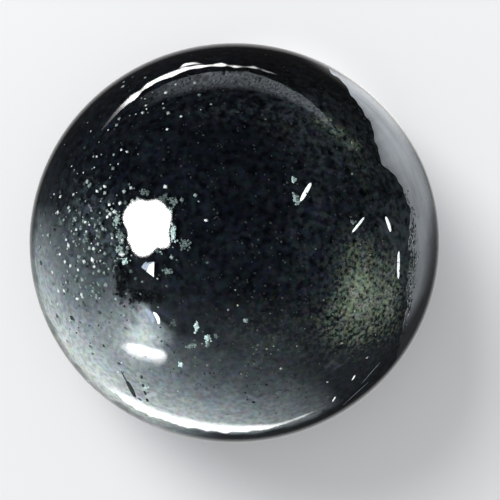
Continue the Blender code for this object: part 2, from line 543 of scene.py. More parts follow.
def dark_heart():
    """The heart: an upper face that is laid out as it is seen from above, a flank and a flat underside.

    Upper face: the points seen at q times the edge, for q from 0 to 1, heart_depth down the line of sight.
    Flank: a straight run from the edge to the foot, bowed out where the heart fills the stone. Where the
    heart stops at its wall, the foot is where the line of sight itself comes down.
    """
    turn = np.linspace(0, 2 * np.pi, HEART_AROUND, endpoint=False)
    edge = heart_edge(turn)
    share = np.sin(np.linspace(0, np.pi / 2, FACE_STEPS)[1:, None]) ** 0.9 * edge
    x, y = seen_place(share, turn)
    upper = seen_point(x, y, heart_depth(x, y))

    rim = upper[-1]
    sight = bent_sight(x[-1], y[-1])
    fall = (rim[:, 2] - HEART_FOOT) / -sight[:, 2]
    wall_foot = rim + fall[:, None] * sight
    level = np.stack([np.cos(turn), np.sin(turn) * REACH_Y / REACH_X, 0 * turn], -1)
    full_foot = FOOT_REACH * level + np.array([0, 0, HEART_FOOT])
    walled = (rise(edge, 0.990, 0.970) * rise(np.cos(turn), -0.1, 0.2))[:, None]
    foot = walled * wall_foot + (1 - walled) * full_foot
    down = np.linspace(0, 1, FLANK_STEPS)[1:, None, None]
    flank = rim + down * (foot - rim) + 4 * down * (1 - down) * (1 - walled) * BACK_BULGE * level
    inward = np.linspace(1, 0, UNDER_STEPS)[1:-1, None, None]
    under = foot * inward + np.array([0, 0, HEART_FOOT]) * (1 - inward)

    rings = np.concatenate([upper, flank, under])
    top = seen_point(0.0, 0.0, heart_depth(0.0, 0.0))
    heart = closed_rings("dark_heart", rings, top, np.array([0, 0, HEART_FOOT]))
    below = np.ones((len(flank) + len(under), 1))
    x = np.concatenate([[0], np.concatenate([x, below * x[-1]]).ravel(), [0]])
    y = np.concatenate([[0], np.concatenate([y, below * y[-1]]).ravel(), [0]])
    fading = np.repeat(rise(down.ravel(), 0.85, 0), HEART_AROUND)
    fading = np.concatenate([np.ones(upper[..., 0].size + 1), fading, np.zeros(under[..., 0].size + 1)])
    # Milk with painted light, painted glows and a painted dark rim shade in it.
    set_attribute(heart, "milk_and_glow", milk_and_painted_light(x, y) * fading)
    set_attribute(heart, "olive", oliveness(x, y))
    side = rise(x / REACH_X, 0.10, 0.45) * rise(y / REACH_Y, -0.50, -0.20)
    right = 0.17 * side + sum(blob(x, y, *field) for field in SPECKED)
    left = blob(x, y, *LEFT_FIELD, 0.52) * between_clots(x, y)
    set_attribute(heart, "speck", np.maximum(left, right))
    set_attribute(heart, "haze", 0.80 + 0.55 * rise(y / REACH_Y, 0.3, -0.7) + 1.2 * side)
    heart.data.materials.append(heart_material())
    return heart


heart = dark_heart()
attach(heart, "root")
stone_pieces.append(heart)


# ---------------------------------------------------------------------------------------------------
# The dust and flecks. Grains of dark, grey, milky and olive mineral hang in the clear crystal over the
# heart, thinly over its dark part and thickly where it turns milky. Each is a small eight-sided crystal.
# ---------------------------------------------------------------------------------------------------

GRAIN_ROOM = 0.04 * MM  # how far the grains stay under the skin and over the heart
GRAIN_POINTS = 6
SPOT_DEPTH = 0.10 * MM
KEY_FIELD = ((-1.85, 0.10), (0.75, 0.62))  # soft ovals in mm, as above: round the key lamp's mirror image,
MIDDLE_FIELD = ((-2.45, 1.60), (0.70, 0.55))  # above it on the left,
UPPER_FIELD = ((-1.75, 2.65), (1.10, 0.50))  # along the upper left,
LOWER_FIELD = ((-0.35, -2.55), (1.60, 0.60))  # and in the lower band
SPOTS = (  # the largest flecks, as seen: x, y and radius in mm
    (-3.37, 0.90, 0.050), (-3.11, 0.94, 0.040), (-2.50, 1.09, 0.048), (-2.65, 1.00, 0.050),
    (-2.41, 0.74, 0.055), (-2.20, 0.77, 0.062), (-2.31, 0.60, 0.065), (-2.45, 0.50, 0.048),
    (-3.07, 0.45, 0.058), (-2.88, 0.40, 0.045), (-2.80, 0.35, 0.038), (-2.86, 0.22, 0.045),
    (-3.25, 0.06, 0.045), (-3.21, -0.05, 0.066), (-2.16, -0.22, 0.070), (-2.74, -0.33, 0.066),
    (-3.38, -0.22, 0.048), (-3.17, -0.44, 0.050), (-3.02, -0.52, 0.050), (-3.53, -0.57, 0.048),
    (-3.41, -0.93, 0.055), (-3.30, -0.93, 0.055), (-3.04, -1.08, 0.050), (-3.43, -1.18, 0.054),
    (-2.18, 1.80, 0.050), (-2.07, 1.76, 0.045), (-2.66, 1.67, 0.036), (-3.15, 1.49, 0.032),
    (-2.92, 1.36, 0.034), (-1.71, 2.66, 0.036), (-1.14, 3.07, 0.034), (-2.15, 3.13, 0.030),
    (-2.78, 2.17, 0.030), (-1.02, -2.34, 0.046), (-1.71, -2.81, 0.040), (-1.73, -3.06, 0.034),
    (-2.25, -2.50, 0.034), (-2.18, -2.32, 0.034), (2.57, -2.22, 0.034), (1.80, -2.69, 0.028),
)


def scatter(draw, tries, density):
    """Seen places in the stone, kept with a chance equal to the density there."""
    reach = 0.965 * np.sqrt(draw.random(tries))
    turn = draw.random(tries) * 2 * np.pi
    reach = np.minimum(reach, heart_edge(turn) - 0.012)
    x, y = seen_place(reach, turn)
    kept = draw.random(tries) < density(x, y)
    return x[kept], y[kept]


def random_turns(draw, count):
    """Turning matrices, evenly spread, from random quaternions."""
    w, x, y, z = draw.normal(size=(4, count))
    size = np.sqrt(w * w + x * x + y * y + z * z)
    w, x, y, z = w / size, x / size, y / size, z / size
    rows = [
        [1 - 2 * (y * y + z * z), 2 * (x * y - z * w), 2 * (x * z + y * w)],
        [2 * (x * y + z * w), 1 - 2 * (x * x + z * z), 2 * (y * z - x * w)],
        [2 * (x * z - y * w), 2 * (y * z + x * w), 1 - 2 * (x * x + y * y)],
    ]
    return np.array(rows).transpose(2, 0, 1)


def grain_mesh(name, places, sizes, turns, shape=(1.0, 1.0, 1.0)):
    """One mesh of many octahedra: six points on the axes, scaled, turned and moved, and eight triangles."""
    corners = np.array([[1, 0, 0], [-1, 0, 0], [0, 1, 0], [0, -1, 0], [0, 0, 1], [0, 0, -1]]) * shape
    sides = np.array([[0, 2, 4], [2, 1, 4], [1, 3, 4], [3, 0, 4], [2, 0, 5], [1, 2, 5], [3, 1, 5], [0, 3, 5]])
    points = places[:, None] + sizes[:, None, None] * np.einsum("nij,kj->nki", turns, corners)
    faces = (np.arange(len(places))[:, None, None] * GRAIN_POINTS + sides).reshape(-1)
    mesh = bpy.data.meshes.new(name)
    mesh.vertices.add(len(places) * GRAIN_POINTS)
    mesh.vertices.foreach_set("co", points.ravel())
    mesh.loops.add(len(faces))
    mesh.loops.foreach_set("vertex_index", faces)
    mesh.polygons.add(len(faces) // 3)
    mesh.polygons.foreach_set("loop_start", np.arange(0, len(faces), 3))
    mesh.update()
    mesh.validate()
    return in_scene(name, mesh)


def grain_material(name, dull, bright, roughness):
    """Mineral grains: each between a dull and a bright colour by its own tone, and slightly mottled."""
    material, tree, shader, _ = new_material(name)
    place = add(tree, "TexCoord").outputs["Object"]
    uneven = remap(tree, masked(tree, MOTTLE, place, Grain=40000.0, Cloudiness=0.0), 0.0, 1.0, 0.7, 1.1)
    amount = arithmetic(tree, "MULTIPLY", attribute(tree, "tone"), uneven)
    feed(tree, shader, Base_Color=blend_of(tree, amount, dull, bright), Roughness=roughness)
    return material


def toned(grains, tones, material):
    """The same piece, with a tone for each grain and its material."""
    set_attribute(grains, "tone", np.repeat(tones, GRAIN_POINTS))
    grains.data.materials.append(material)
    return grains


def clumped(x, y):
    """Small clumps and gaps a quarter of a millimetre apart, from about 0.2 to 1.7."""
    return 0.2 + 1.5 * rise(0.7 * waver(5 * x, 5 * y), -0.5, 0.5)


def over_milk(x, y):
    """Dark dust: in the lower band, and thinly where the milk is slight."""
    milk_and_glow = milk_and_painted_light(x, y)
    return 0.05 * rise(milk_and_glow, 0, 0.10) * rise(milk_and_glow, 0.50, 0.10) + 0.32 * blob(x, y, *LOWER_FIELD)


def over_dark(x, y):
    """Grey dust: everywhere in the dark part, thinner towards the top and hardly any over the milk."""
    return (0.30 + 0.25 * rise(y / REACH_Y, 0.5, -0.5)) * (1 - 0.88 * rise(milk_and_painted_light(x, y), 0, 0.3))


def over_left(x, y):
    """Milky grains: thick left of the key lamp's mirror image, thinner round it and above it."""
    field = 0.80 * blob(x, y, *LEFT_FIELD) + 0.40 * blob(x, y, *KEY_FIELD) + 0.10 * blob(x, y, *MIDDLE_FIELD)
    return field * clumped(x, y) * between_clots(x, y)


def sparkling(x, y):
    """Bright flecks: in the left field, round the key lamp's mirror image and along the upper left."""
    field = 0.55 * blob(x, y, *LEFT_FIELD) + 0.30 * blob(x, y, *KEY_FIELD) + 0.09 * blob(x, y, *MIDDLE_FIELD)
    return field * clumped(y, x) * between_clots(x, y) + 0.20 * blob(x, y, *UPPER_FIELD) + 0.003


def in_olive(x, y):
    """Olive grains: in the olive patches and thinly around them."""
    return oliveness(x, y) + 0.008 * rise(x / REACH_X, -0.2, 0.8)


def in_clots(x, y):
    """Dark clots: in two ragged patches on the left edge of the heart."""
    return 0.8 * sum(blob(x, y, *clot) for clot in DARK_CLOTS)


GRAINS = (  # name, density, tries, smallest and largest radius in mm, dull and bright colour, roughness
    ("dark_dust", over_milk, 2600, 0.016, 0.040, (0.035, 0.045, 0.045), (0.20, 0.22, 0.21), 0.7),
    ("grey_dust", over_dark, 3200, 0.014, 0.036, (0.005, 0.007, 0.010), (0.045, 0.053, 0.055), 0.7),
    ("milky_dust", over_left, 6000, 0.024, 0.062, (0.02, 0.032, 0.032), (0.36, 0.46, 0.44), 0.6),
    ("bright_flecks", sparkling, 2700, 0.021, 0.056, (0.10, 0.14, 0.13), (0.92, 1.0, 0.98), 0.5),
    ("olive_dust", in_olive, 1500, 0.018, 0.040, (0.08, 0.095, 0.07), (0.42, 0.47, 0.36), 0.7),
    ("olive_spots", in_olive, 1500, 0.018, 0.046, (0.006, 0.008, 0.008), (0.03, 0.034, 0.03), 0.7),
    ("dark_clots", in_clots, 34000, 0.020, 0.058, (0.001, 0.002, 0.002), (0.012, 0.014, 0.016), 0.8),
)

for seed, (name, density, tries, smallest, largest, dull, bright, roughness) in enumerate(GRAINS):
    draw = np.random.default_rng(seed + 11)
    x, y = scatter(draw, tries, density)
    spread = draw.random(len(x))
    depth = GRAIN_ROOM + spread * np.maximum(heart_depth(x, y) - 2 * GRAIN_ROOM, 0)
    radius = (smallest + (largest - smallest) * draw.random(len(x)) ** 2) * MM
    grains = grain_mesh(name, seen_point(x, y, depth), radius, random_turns(draw, len(x)))
    toned(grains, draw.random(len(x)), grain_material(name, dull, bright, roughness))
    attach(grains, "root")
    stone_pieces.append(grains)


def bright_spots():
    """The largest flecks: eight-sided crystals a little longer than thick, each turned its own way."""
    draw = np.random.default_rng(7)
    x, y, radius = np.array(SPOTS).T * MM
    turns = random_turns(draw, len(x))
    piece = grain_mesh("bright_spots", seen_point(x, y, SPOT_DEPTH), radius, turns, (1.1, 0.75, 0.75))
    material = grain_material("bright_spot", (0.35, 0.45, 0.43), (0.96, 1.0, 1.0), 0.4)
    return toned(piece, 0.55 + 0.45 * draw.random(len(x)), material)


CLUSTERS_AND_HIGHLIGHT = (  # middle x, y as seen, half length and half width in mm, turn in degrees, brightness and count
    # The first row, just right of the key lamp's mirror image, is a painted highlight: a bit of that mirror
    # image.
    (-1.17, 0.20, 0.12, 0.040, 95, 0.95, 68), (-0.95, -0.02, 0.080, 0.075, 0, 0.20, 68),
    (-1.27, -0.54, 0.055, 0.050, 0, 0.28, 40), (-1.38, 0.87, 0.085, 0.05, 20, 0.16, 44),
    (-1.17, 0.80, 0.060, 0.055, 0, 0.26, 36), (-1.74, 0.97, 0.075, 0.045, 0, 0.20, 36),
    (-2.10, -0.36, 0.050, 0.045, 0, 0.95, 40), (-2.20, 0.10, 0.11, 0.05, 95, 0.30, 52),
    (-0.73, -1.62, 0.075, 0.032, 90, 0.95, 52), (-0.52, -1.83, 0.045, 0.040, 0, 0.90, 40),
    (-0.51, -1.95, 0.060, 0.022, 80, 0.40, 28), (-0.85, -1.99, 0.095, 0.026, 10, 0.32, 44),
    (-1.16, -1.54, 0.050, 0.035, 0, 0.14, 24), (-0.34, -1.79, 0.030, 0.028, 0, 0.22, 16),
    (1.18, 0.85, 0.090, 0.034, 110, 0.55, 52), (1.15, 1.21, 0.036, 0.034, 0, 0.80, 32),
    (2.29, 0.40, 0.030, 0.024, 0, 0.35, 16), (0.22, -1.50, 0.030, 0.025, 0, 0.45, 16),
    (-1.71, -2.81, 0.030, 0.026, 0, 0.95, 16), (-1.03, -2.35, 0.036, 0.032, 0, 0.95, 20),
    (-2.27, 0.44, 0.090, 0.055, 70, 0.55, 48), (-2.20, -0.14, 0.100, 0.050, 100, 0.50, 48),
    (-1.25, 0.62, 0.060, 0.040, 60, 0.45, 32),
)


def pale_clusters_and_highlight():
    """Small clusters of pale grains, the first a painted highlight, strewn about each middle as a bell curve
    on a turned oval.
    """
    draw = np.random.default_rng(8)
    rows = np.array(CLUSTERS_AND_HIGHLIGHT)
    x, y, long_half, short_half, turn, brightness = np.repeat(rows[:, :-1], rows[:, -1].astype(int), axis=0).T
    along = 0.6 * long_half * draw.normal(size=len(x))
    aside = 0.6 * short_half * draw.normal(size=len(x))
    cos, sin = np.cos(np.radians(turn)), np.sin(np.radians(turn))
    seen_x = (x + cos * along - sin * aside) * MM
    seen_y = (y + sin * along + cos * aside) * MM
    radius = (0.017 + 0.016 * draw.random(len(x))) * MM
    depth = (0.08 + 0.06 * draw.random(len(x))) * MM
    piece = grain_mesh("pale_clusters_and_highlight", seen_point(seen_x, seen_y, depth), radius, random_turns(draw, len(x)))
    material = grain_material("pale_cluster_and_highlight", (0.006, 0.014, 0.013), (0.78, 1.0, 0.96), 0.5)
    return toned(piece, brightness * (0.75 + 0.25 * draw.random(len(x))), material)


for piece in (bright_spots(), pale_clusters_and_highlight()):
    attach(piece, "root")
    stone_pieces.append(piece)


# ---------------------------------------------------------------------------------------------------
# The clear edge. On the right the crystal is clear, but for a dark film of painted shade in layers along
# the edge, which thickens towards the lower right and lies as the heart's painted shadow against its wall,
# and for flakes and crumbs of pale mineral along the heart's wall.
# ---------------------------------------------------------------------------------------------------

STREAKS = (  # name, count, direction and its spread in degrees, share of the way out and its spread, sizes
    # in mm, how slender, colours of the dull and bright
    ("green_flakes", 260, -6, 10, 0.10, 0.10, (0.02, 0.07), 0.30, (0.34, 0.42, 0.39), (0.72, 0.84, 0.78)),
    ("edge_crumbs", 260, -12, 12, 0.04, 0.09, (0.014, 0.036), 0.80, (0.04, 0.05, 0.05), (0.22, 0.26, 0.25)),
)
EDGE_SHADE = (  # direction in degrees, shares of the way out where the painted shade begins and is full, its strength, and the strength of a second painted shade, the heart's painted shadow, that lies against the heart's wall
    # the strength of a second smoke that lies against the heart's wall
    (-52, 0.93, 0.950, 0.0, 0.0), (-42, 0.91, 0.940, 0.80, 0.0), (-28, 0.89, 0.945, 0.82, 0.0),
    (-15, 0.918, 0.975, 0.72, 0.0), (0, 0.915, 0.975, 0.56, 0.05), (8, 0.935, 0.985, 0.36, 0.22),
    (16, 0.960, 0.990, 0.0, 0.36), (30, 0.960, 0.990, 0.0, 0.55), (44, 0.960, 0.990, 0.0, 0.53),
    (52, 0.960, 0.990, 0.0, 0.34), (60, 0.960, 0.990, 0.0, 0.0), (80, 0.960, 0.990, 0.0, 0.0),
)
FILM_DEPTHS = (0.22 * MM, 0.25 * MM)  # of its upper and lower face under the skin, along a line of sight
FILM_ENDS = (-52, 76)  # directions between which it runs, in degrees
FILM_STEPS = (400, 18)  # sections along it, and points across each of its faces
FILM_LAP = 0.004  # how far it reaches in over the heart's wall,
FILM_RIM = 0.991  # and how far out it goes, as shares of the girdle
EDGE_END = 0.988  # how far out flakes and crumbs go
FACED_ROUND = [0, 3, 2, 1]  # the order of a face's corners that turns it to face the other way


def along_edge(draw, count, middle, spread, share, share_spread):
    """Places in the clear edge: a direction about the middle one, and a share of the way out to the rim."""
    turn = np.radians(draw.normal(middle, spread, count))
    start = heart_edge(turn)
    part = draw.normal(share, share_spread, count)
    reach = start + part * (EDGE_END - start)
    kept = (start < 0.96) & (part > 0.02) & (reach < EDGE_END)
    return *seen_place(reach[kept], turn[kept]), turn[kept]


def streak_turns(draw, turn):
    """Turning matrices that lay a splinter level along the edge, a few degrees askew."""
    askew = turn + np.pi / 2 + draw.normal(0, 0.07, len(turn))
    cos, sin, nil, one = np.cos(askew), np.sin(askew), 0 * turn, 0 * turn + 1
    return np.array([[cos, -sin, nil], [sin, cos, nil], [nil, nil, one]]).transpose(2, 0, 1)


def shade_film_material():
    """A dark film of painted shade, as dense as the piece's attribute says, with faint streaks that follow
    the edge.
    """
    material, tree, shader, _ = new_material("edge_painted_shade")
    slow = arithmetic(tree, "MULTIPLY", attribute(tree, "along"), 0.10)
    layered = add(tree, "CombineXYZ", X=slow, Y=attribute(tree, "out")).outputs[0]
    streaks = noise(tree, layered, scale=7000.0, detail=3.0, roughness=0.6)["Fac"]
    grey = remap(tree, streaks, 0.40, 0.70, 0.0, 0.13)
    uneven = remap(tree, streaks, 0.30, 0.65, 1.0, 0.70)
    density = arithmetic(tree, "MULTIPLY_ADD", attribute(tree, "smoke_and_shade"), uneven, grey)
    shade = blend_of(tree, uneven, (0.030, 0.035, 0.042), (0.006, 0.008, 0.011))
    feed(tree, shader, Base_Color=shade, Alpha=density, Roughness=0.9, Specular_IOR_Level=0.0)
    return material


def shade_film():
    """The film of painted shade: a thin closed strip from the heart's wall to the rim, laid out as it is seen
    from above.

    Its section, a row of points out along the upper face and back along the lower one, is carried round.
    """
    turn = np.radians(np.linspace(*FILM_ENDS, FILM_STEPS[0]))[:, None]
    start = np.minimum(heart_edge(turn) - FILM_LAP, EDGE_END)
    part = np.linspace(0, 1, FILM_STEPS[1])
    part = np.concatenate([part, part[::-1]])
    depth = np.repeat(FILM_DEPTHS, FILM_STEPS[1])
    reach = start + part * (FILM_RIM - start)
    x, y = seen_place(reach, turn)
    count, around = x.shape
    first = np.arange(around)
    sides = ring_quads(count, around, 0)[:, FACED_ROUND].tolist()
    ends = [first[::-1].tolist(), ((count - 1) * around + first).tolist()]
    piece = new_piece("shade_film", seen_point(x, y, depth), sides + ends)
    directions, *columns = np.array(EDGE_SHADE).T
    begin, full, strength, inner = (np.interp(np.degrees(turn), directions, column) for column in columns)
    # Painted shade thickening towards the lower right rim, plus the heart's painted shadow against its wall.
    smoke_and_shade = strength * rise(reach, begin, full) + inner * np.exp(-part / 0.45)
    set_attribute(piece, "smoke_and_shade", smoke_and_shade.ravel())
    set_attribute(piece, "along", np.broadcast_to(turn * REACH_X, x.shape).ravel())
    set_attribute(piece, "out", (reach * REACH_X).ravel())
    piece.data.materials.append(shade_film_material())
    return piece


film = shade_film()
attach(film, "root")
stone_pieces.append(film)

for seed, (name, *where, sizes, slender, dull, bright) in enumerate(STREAKS):
    draw = np.random.default_rng(seed + 31)
    x, y, turn = along_edge(draw, *where)
    depth = (0.10 + 0.8 * draw.random(len(x))) * MM
    length = (sizes[0] + (sizes[1] - sizes[0]) * draw.random(len(x))) * MM
    shape = (1.0, slender, slender)
    streaks = grain_mesh(name, seen_point(x, y, depth), length, streak_turns(draw, turn), shape)
    toned(streaks, draw.random(len(x)), grain_material(name, dull, bright, 0.6))
    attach(streaks, "root")
    stone_pieces.append(streaks)


# ---------------------------------------------------------------------------------------------------
# The needles, glints and cracks. A few stout needles show as white dashes by a painted glow, a small plate
# that glows white with painted light lies over a dimly glowing one near the key lamp's mirror image, a
# painted bluish glow lies round the curved glint, and short dark cracks lie at the lower left.
# ---------------------------------------------------------------------------------------------------

SPINDLE_RINGS = 12
SPINDLE_AROUND = 8
# Needles that glow white with painted light; the fifth is the curved glint.
GLINTING_NEEDLES = (  # start x, y and end x, y as seen, in mm, then width, sideways bow and depth in mm
    (1.27, 0.80, 1.48, 1.16, 0.080, 0.00, 0.08), (2.27, 0.20, 2.51, 0.50, 0.050, 0.00, 0.08),
    (2.92, 0.51, 3.02, 0.21, 0.074, 0.01, 0.07), (3.18, -0.15, 3.17, -0.70, 0.070, -0.01, 0.07),
    (-1.56, -1.33, -1.45, -1.57, 0.075, 0.03, 0.12), (1.90, -3.08, 1.96, -2.98, 0.040, 0.00, 0.06),
    (2.28, -2.66, 2.34, -2.56, 0.040, 0.00, 0.06),
)
# The first is a painted bluish glow round the curved glint; the others are faint needles with a slight
# painted glow.
DIM_NEEDLES_AND_HALO = (
    (-1.70, -1.26, -1.53, -1.56, 0.130, 0.02, 0.16), (2.10, -3.16, 2.62, -2.68, 0.020, 0.03, 0.06),
    (2.46, -2.74, 2.84, -2.30, 0.018, 0.02, 0.06),
)
DARK_CRACKS = (
    (-2.19, -2.47, -2.05, -2.74, 0.034, -0.01, 0.34), (-2.09, -2.66, -1.92, -3.00, 0.105, 0.01, 0.34),
    (-1.87, -3.00, -1.80, -3.06, 0.050, 0.00, 0.32), (-1.80, -2.56, -1.79, -2.63, 0.050, 0.00, 0.30),
    (-1.775, -2.73, -1.76, -2.79, 0.060, 0.00, 0.28), (-1.75, -2.86, -1.72, -2.95, 0.060, 0.01, 0.28),
    (-1.70, -3.01, -1.68, -3.08, 0.060, 0.00, 0.28), (-2.28, -0.40, -2.22, -0.75, 0.050, 0.05, 0.15),
)
# A small flat crack that glows white with painted light, over a dull one that glows faintly.
GLINTING_PLATE = ((-1.63, -0.42), (-1.54, -0.37), (-1.55, -0.66), (-1.69, -0.55))  # its corners, as seen, in mm
DULL_PLATE = ((-1.74, -0.39), (-1.54, -0.36), (-1.56, -0.64), (-1.79, -0.47))
PLATE_DEPTH = 0.09 * MM
PLATE_THICK = 0.02 * MM


def spindles(name, rows):
    """One mesh of many spindles, each nearly as thick all along and rounded off at both ends.

    A point of one is its axis, bowed sideways as a sine, plus a circle's point, flattened along the line of
    sight. The circle's radius is half the width times a sine to a low power, which rounds the ends.
    """
    x0, y0, x1, y1, width, bow, depth = np.array(rows).T * MM
    start = seen_point(x0, y0, depth)
    axis = seen_point(x1, y1, depth) - start
    sight = bent_sight((x0 + x1) / 2, (y0 + y1) / 2)
    side = np.cross(axis, sight)
    side /= np.linalg.norm(side, axis=1, keepdims=True)
    along = np.linspace(0, 1, SPINDLE_RINGS + 2)
    swell = np.sin(np.pi * along)
    middle = start[:, None] + along[:, None] * axis[:, None]
    middle = middle + (bow[:, None] * swell)[..., None] * side[:, None]
    turn = np.linspace(0, 2 * np.pi, SPINDLE_AROUND, endpoint=False)
    circle = np.cos(turn)[:, None] * side[:, None] - 0.4 * np.sin(turn)[:, None] * sight[:, None]
    radius = width[:, None] / 2 * np.clip(swell, 0, 1) ** 0.3
    rings = middle[:, 1:-1, None] + radius[:, 1:-1, None, None] * circle[:, None]
    points = np.concatenate([middle[:, :1], rings.reshape(len(rings), -1, 3), middle[:, -1:]], 1)
    quads, fans = closed_faces(SPINDLE_RINGS, SPINDLE_AROUND)
    shift = np.arange(len(rows))[:, None, None] * points.shape[1]
    faces = (quads[:, FACED_ROUND] + shift).reshape(-1, 4).tolist()
    faces += (fans[:, [0, 2, 1]] + shift).reshape(-1, 3).tolist()
    piece = new_piece(name, points, faces)
    piece.data.shade_smooth()
    return piece


def plate(name, corners, depth):
    """A flat plate: its outline at two depths, joined by a wall and closed by a face at each."""
    outline = np.array(corners) * MM
    upper = seen_point(outline[:, 0], outline[:, 1], depth)
    lower = seen_point(outline[:, 0], outline[:, 1], depth + PLATE_THICK)
    count = len(outline)
    faces = [tuple(range(count))[::-1], tuple(range(count, 2 * count))]
    here = np.arange(count)
    beside = (here + 1) % count
    faces += np.stack([here, beside, count + beside, count + here], -1).tolist()
    return new_piece(name, np.concatenate([upper, lower]), faces)


def glint_material(name, colour, glow):
    """Needles, plates and cracks: slightly uneven, with a painted glow that stands for the light they catch.
    """
    material, tree, shader, _ = new_material(name)
    place = add(tree, "TexCoord").outputs["Object"]
    uneven = masked(tree, MOTTLE, place, Grain=20000.0, Cloudiness=0.0)
    tone = blend_of(tree, uneven, [0.7 * part for part in colour], colour)
    feed(tree, shader, Base_Color=tone, Emission_Color=tone, Emission_Strength=glow, Roughness=0.4)
    return material


# Painted glow: strong and white, and faint and bluish.
WHITE_GLINT = glint_material("white_glint", (0.95, 1.0, 1.0), 0.75)
DIM_GLINT = glint_material("dim_glint", (0.36, 0.42, 0.52), 0.10)
for piece, material in (
    (spindles("glinting_needles", GLINTING_NEEDLES), WHITE_GLINT),
    (spindles("dim_needles_and_halo", DIM_NEEDLES_AND_HALO), DIM_GLINT),
    (spindles("dark_cracks", DARK_CRACKS), glint_material("dark_crack", (0.03, 0.04, 0.04), 0.0)),
    (plate("glinting_plate", GLINTING_PLATE, PLATE_DEPTH), WHITE_GLINT),
    (plate("dull_plate", DULL_PLATE, PLATE_DEPTH + 2 * PLATE_THICK), DIM_GLINT),
):
    piece.data.materials.append(material)
    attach(piece, "root")
    stone_pieces.append(piece)


# ---------------------------------------------------------------------------------------------------
# The table. A pale, level, faintly glowing sheet just under the stone. It glows more
# under the stone's clear side, which gathers light there as a lens does.
# ---------------------------------------------------------------------------------------------------

TABLE_SIZE = 160 * MM
TABLE_DROP = 0.02 * MM  # keeps the table's face just clear of the stone's base
TABLE_GLOW = 0.27
TABLE_WHITE = 0.60
GATHERED = ((0.8 * MM, 1.75 * MM, 0.0), 2.8 * MM, 1.00)  # middle, reach, strength of what is gathered below
SPILL = ((3.1 * MM, 3.3 * MM, 0.0), 2.3 * MM, 0.8)  # and of what is thrown past the clear side, as mirrored
NEAR = (4.3 * MM, 0.55)  # how bright the stone mirrors the table, up to this far from the middle
FAR = (5.0 * MM, 0.03)  # and from this far on


def glow_about(tree, place, middle, reach, peak, rest):
    """A strength that falls in an S from its peak in the middle to the rest at its reach."""
    apart = add(tree, "VectorMath", {"operation": "DISTANCE"}, i0=place, i1=middle).outputs["Value"]
    fall = add(tree, "MapRange", {"interpolation_type": "SMOOTHERSTEP"}, Value=apart, From_Max=reach)
    return feed(tree, fall, To_Min=peak, To_Max=rest).outputs["Result"]


def looked_at(tree, path):
    """1 for what is seen directly or through the stone, from a Light Path node."""
    return arithmetic(tree, "MAXIMUM", path["Is Camera Ray"], path["Is Transmission Ray"])


def table():
    """A level square sheet, which glows faintly and is lit from above."""
    half = TABLE_SIZE / 2
    corners = [(x * half, y * half, -TABLE_DROP) for x, y in ((-1, -1), (1, -1), (1, 1), (-1, 1))]
    piece = new_piece("table", corners, [(0, 1, 2, 3)])
    material, tree, shader, output = new_material("lit_table")
    tree.nodes.remove(shader)
    place = add(tree, "TexCoord").outputs["Object"]
    path = add(tree, "LightPath").outputs
    lit = arithmetic(tree, "MAXIMUM", looked_at(tree, path), path["Is Diffuse Ray"])
    away = add(tree, "VectorMath", {"operation": "LENGTH"}, i0=place).outputs["Value"]
    near = remap(tree, away, NEAR[0], FAR[0], NEAR[1], FAR[1])
    mirror_glow = arithmetic(tree, "ADD", near, glow_about(tree, place, *SPILL, 0.0))
    mirrored = add(tree, "Emission", Color=(1, 1, 1, 1), Strength=mirror_glow)
    gathered = glow_about(tree, place, *GATHERED[:2], TABLE_GLOW + GATHERED[2], TABLE_GLOW)
    glow = add(tree, "Emission", Color=(0.93, 0.965, 1, 1), Strength=gathered)
    dull = add(tree, "BsdfDiffuse", Color=(TABLE_WHITE, TABLE_WHITE, TABLE_WHITE, 1))
    both = add(tree, "AddShader", i0=glow.outputs[0], i1=dull.outputs[0])
    choose = add(tree, "MixShader", i0=lit, i1=mirrored.outputs[0], i2=both.outputs[0])
    feed(tree, output, Surface=choose.outputs[0])
    piece.data.materials.append(material)
    return piece


sheet = table()


# ---------------------------------------------------------------------------------------------------
# The lights. A round cluster lamp stands to the left, soft lamps fill in from the front, from behind and
# from above, and glowing strips stand where the dome mirrors them as arcs along its rim.
# ---------------------------------------------------------------------------------------------------

KEY_SEEN = np.array([-1.707, 0.293]) * MM  # where the key lamp's mirror image is seen on the dome
KEY_AWAY = 60 * MM
KEY_STEPS = (40, 288)  # rings of points on its face, and points in each
KEY_OUTLINE = (  # of the lamp cluster in its mirror image: direction in degrees and distance out in mm
    (3, 0.47), (14, 0.50), (29, 0.58), (42, 0.57), (58, 0.60), (72, 0.60), (82, 0.545), (92, 0.54),
    (104, 0.59), (121, 0.585), (133, 0.555), (146, 0.545), (160, 0.505), (172, 0.44), (185, 0.39),
    (198, 0.385), (212, 0.45), (226, 0.47), (240, 0.54), (252, 0.585), (267, 0.58), (280, 0.53),
    (290, 0.47), (300, 0.45), (309, 0.53), (318, 0.585), (328, 0.565), (337, 0.50), (349, 0.46),
)
KEY_MIDDLE = 0.0005  # where its face starts and ends, as shares of the outline's distance
KEY_SIZE = 1.05
KEY_SOFTNESS = 0.15  # share of that distance over which its edge fades
KEY_RADIANCE = 30.0
